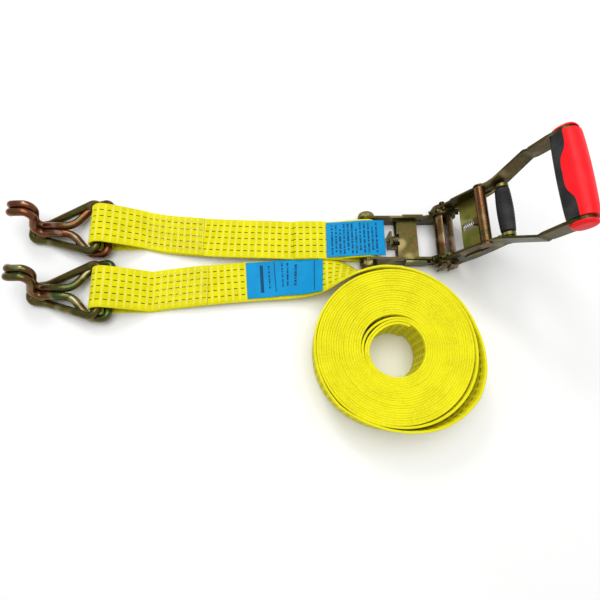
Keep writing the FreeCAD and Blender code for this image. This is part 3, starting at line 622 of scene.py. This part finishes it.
# ---- sewing: rows of raised thread
def stitches(name, lines, body, mat, rad=0.32):
    """Each stitch is a short capsule lying on the surface, given as (a, b) in mm."""
    verts, faces = [], []
    for a, b in lines:
        d = (b - a)
        ln = d.length
        d.normalize()
        side = Vector((0, 0, 1)).cross(d)
        side = side.normalized() if side.length > 1e-3 else Vector((0, 1, 0))
        up = d.cross(side).normalized()
        base = len(verts)
        ring = 6
        prof = [(0.0, 0.35, -0.25), (0.18, 0.9, 0.05), (0.5, 1.0, 0.2), (0.82, 0.9, 0.05), (1.0, 0.35, -0.25)]
        for f, r, lift in prof:
            for k in range(ring):
                an = 2 * math.pi * k / ring
                verts.append(tuple(W(*(a + d * (ln * f) + side * (rad * r * math.cos(an)) + up * (rad * (r * math.sin(an) + lift))))))
        for i in range(len(prof) - 1):
            for k in range(ring):
                k2 = (k + 1) % ring
                faces.append((base + i * ring + k, base + i * ring + k2, base + (i + 1) * ring + k2, base + (i + 1) * ring + k))
        faces.append(tuple(base + k for k in range(ring - 1, -1, -1)))
        faces.append(tuple(base + (len(prof) - 1) * ring + k for k in range(ring)))
    me = bpy.data.meshes.new(name)
    me.from_pydata(verts, [], faces)
    me.update()
    me.polygons.foreach_set("use_smooth", [True] * len(me.polygons))
    o = bpy.data.objects.new(name, me)
    bpy.context.scene.collection.objects.link(o)
    me.materials.append(mat)
    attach(o, body)
    return o


def zigzag(x0, x1, yc, ztop, rows_y, amp, pitch):
    lines = []
    for ry in rows_y:
        x = x0
        k = 0
        while x + pitch < x1:
            y1 = yc(x) + ry + (amp if k % 2 else -amp)
            y2 = yc(x + pitch) + ry + (-amp if k % 2 else amp)
            lines.append((Vector((x, y1, ztop(x))), Vector((x + pitch, y2, ztop(x + pitch)))))
            x += pitch
            k += 1
    return lines


# end rows across the sewn overlaps
def cross_rows(xs, yc, ztop, half, step=2.6, gap=0.7):
    lines = []
    for x in xs:
        y = -half
        while y + step - gap < half:
            lines.append((Vector((x, yc(x) + y, ztop(x))), Vector((x + rnd.uniform(-0.1, 0.1), yc(x) + y + step - gap, ztop(x)))))
            y += step
    return lines


top1 = lambda x: zc1(x) + PITCH / 2 + T / 2 + 0.12
top2 = lambda x: zc2(x) + PITCH / 2 + T / 2 + 0.12
s1 = zigzag(ex1 + 6, -112, yc1, top1, (-18, -9, 0, 9, 18), 2.0, 2.6)
s1 += cross_rows((ex1 + 4, -112.0, -114.5), yc1, top1, 22)
stitches("fixed_strap_stitches", s1, "fixed_strap", thread_y)
s2 = zigzag(ex2 + 6, -105, yc2, top2, (-18, -9, 0, 9, 18), 2.0, 2.6)
s2 += cross_rows((ex2 + 4, -104.5, -107.0), yc2, top2, 22)
stitches("long_strap_stitches", s2, "long_strap", thread_y)

# ------------------------------------------------------------ finger sleeve: ribbed rubber
FB = (80.0, -2.0)


def in_handle(r, e, y):
    c, s = math.cos(THETA), math.sin(THETA)
    return Vector((SPX + r * c - e * s, SPY + y, SPZ + r * s + e * c))


def sleeve():
    prof = []
    k = 0
    y = -25.3
    prof.append((y, 4.15))
    prof.append((y, 6.2))
    prof.append((y + 0.5, 6.9))
    while y < 24.4:
        y += 0.9
        base = 7.3 + 1.1 * math.cos(y / 25.0 * math.pi / 2) + 0.12 * math.cos(y * 2 * math.pi / 3.6)
        prof.append((min(y, 24.6), base))
    prof += [(24.8, 6.8), (25.3, 6.1), (25.3, 4.15)]
    ring = 56
    verts, faces = [], []
    for y, r in prof:
        for i in range(ring):
            a = 2 * math.pi * i / ring
            rr = r + (0.16 * math.cos(a * 14) if r > 6.95 else 0.0)
            verts.append(tuple(W(*in_handle(FB[0] + rr * math.cos(a), FB[1] + rr * math.sin(a), y))))
    n = len(prof)
    for i in range(n):
        i2 = (i + 1) % n
        for j in range(ring):
            j2 = (j + 1) % ring
            faces.append((i * ring + j, i * ring + j2, i2 * ring + j2, i2 * ring + j))
    me = bpy.data.meshes.new("finger_sleeve_ribbed")
    me.from_pydata(verts, [], faces)
    me.update()
    import bmesh
    bm = bmesh.new()
    bm.from_mesh(me)
    bmesh.ops.recalc_face_normals(bm, faces=bm.faces)
    bm.to_mesh(me)
    bm.free()
    me.polygons.foreach_set("use_smooth", [True] * len(me.polygons))
    o = bpy.data.objects.new("finger_sleeve_ribbed", me)
    bpy.context.scene.collection.objects.link(o)
    me.materials.append(black)
    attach(o, "drive_pawl")
    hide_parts("finger_sleeve")
    return o


sleeve()

# ------------------------------------------------------------ floor, light, camera
bpy.ops.mesh.primitive_plane_add(size=8.0, location=(0, 0, -0.0002))
floor = bpy.context.object
floor.name = "floor"
fm = Mat("floor")
fc = fm.mix(fm.step(fm.noise(fm.obj(), 3.0, 2.0), 0.3, 0.7), (0.86, 0.86, 0.86), (0.88, 0.88, 0.88))
fm.l(fc, fm.b.inputs["Base Color"])
fm.b.inputs["Roughness"].default_value = 0.6
floor.data.materials.append(fm.m)

world = bpy.data.worlds.new("studio")
bpy.context.scene.world = world
world.use_nodes = True
bg = world.node_tree.nodes["Background"]
bg.inputs[0].default_value = (1.0, 1.0, 1.0, 1.0)
bg.inputs[1].default_value = 0.55


def area(name, loc, target, size, power, color=(1, 1, 1)):
    d = bpy.data.lights.new(name, "AREA")
    d.size = size
    d.energy = power
    d.color = color
    o = bpy.data.objects.new(name, d)
    bpy.context.scene.collection.objects.link(o)
    o.location = loc
    o.rotation_euler = (Vector(target) - Vector(loc)).to_track_quat("-Z", "Y").to_euler()
    return o


area("overhead", (0.1, 0.25, 2.0), (0.0, 0.0, 0.0), 1.6, 26)
area("key", (-0.5, 1.3, 1.6), (0.0, 0.0, 0.0), 0.5, 9)
bpy.context.scene.view_settings.view_transform = "Standard"

cam = bpy.data.cameras.new("camera")
cam.sensor_width = 36.0
cam.lens = 25.965
cam.clip_start = 0.01
co = bpy.data.objects.new("camera", cam)
bpy.context.scene.collection.objects.link(co)
r0 = Vector((0.99983, -0.01116, 0.01472)).normalized()
r2 = Vector((0.01725, 0.27982, -0.95990)).normalized()
r1 = r2.cross(r0).normalized()
co.matrix_world = Matrix(((r0.x, -r1.x, -r2.x, -CX / 1000), (r0.y, -r1.y, -r2.y, -CY / 1000), (r0.z, -r1.z, -r2.z, 0.50312), (0, 0, 0, 1)))
bpy.context.scene.camera = co
